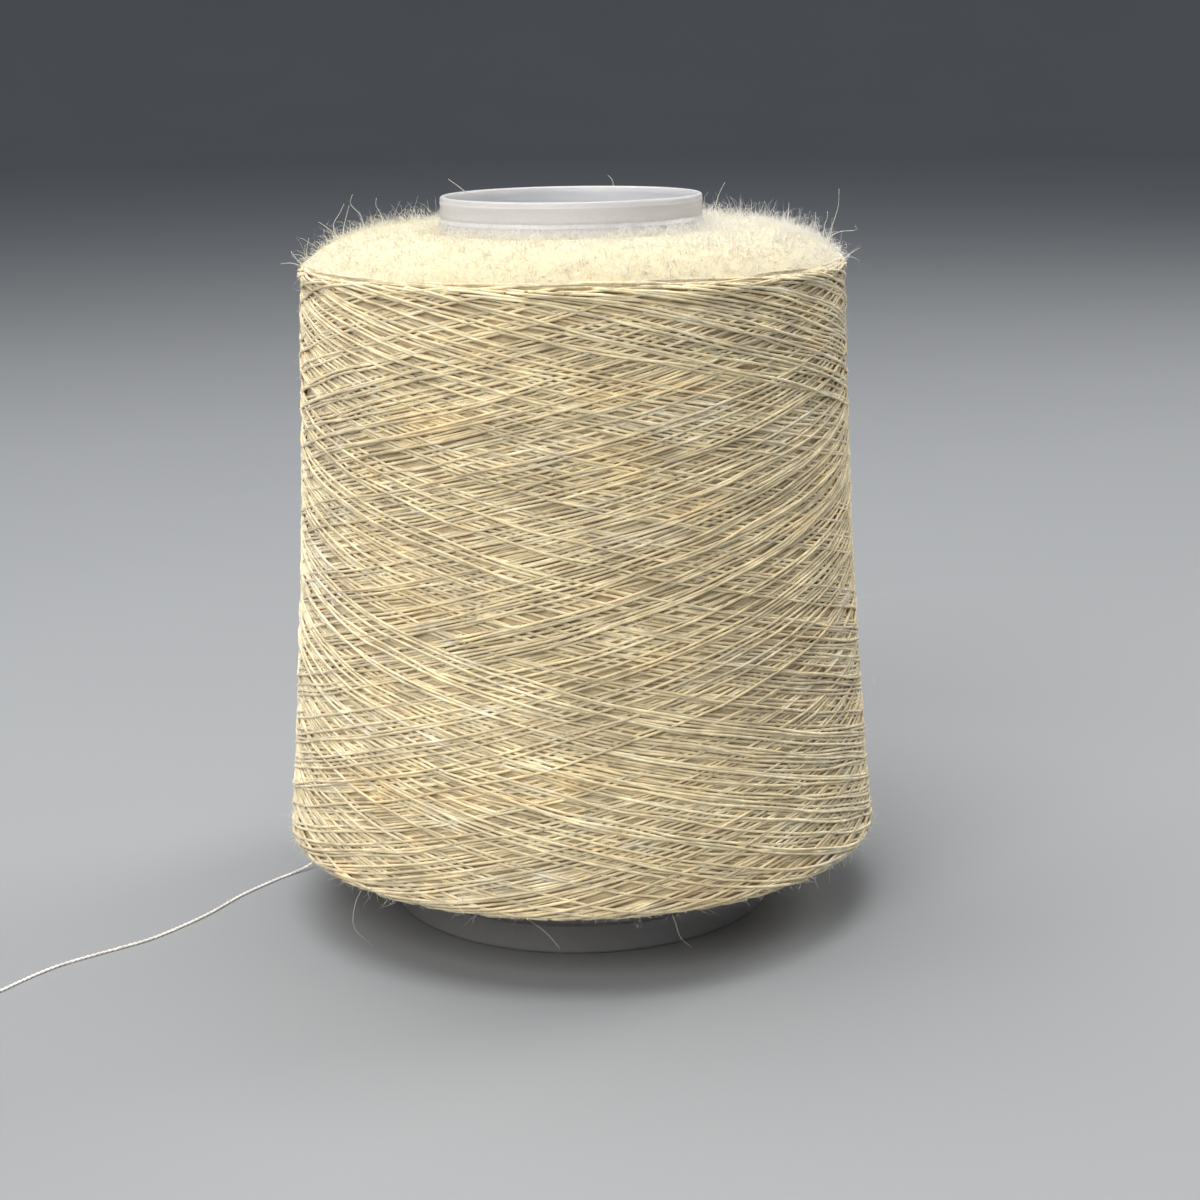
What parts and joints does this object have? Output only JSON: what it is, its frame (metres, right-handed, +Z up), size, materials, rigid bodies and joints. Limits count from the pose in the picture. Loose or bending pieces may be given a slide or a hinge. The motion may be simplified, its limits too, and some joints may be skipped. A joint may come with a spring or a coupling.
{
  "type": "cone of yarn",
  "caption": "Small cone of fine cream yarn, cross-wound on a thin conical plastic tube that is open at both ends, with the yarn's loose end lying out beside it.",
  "frame": {"origin": "centre of the tube's foot ring, on the surface that the cone stands on", "axes": "+Z up along the tube's axis towards its narrow nose, -Y towards the viewer, +X to the viewer's right"},
  "size_m": [0.1464, 0.0932, 0.108],
  "materials": {
    "cream_yarn": "matte, slightly hairy yarn",
    "frosted_plastic": "frosted, slightly see-through"
  },
  "bodies": {
    "root": {"tube": "frosted_plastic", "winding": "cream_yarn", "tail": "cream_yarn"}
  },
  "joints": []
}
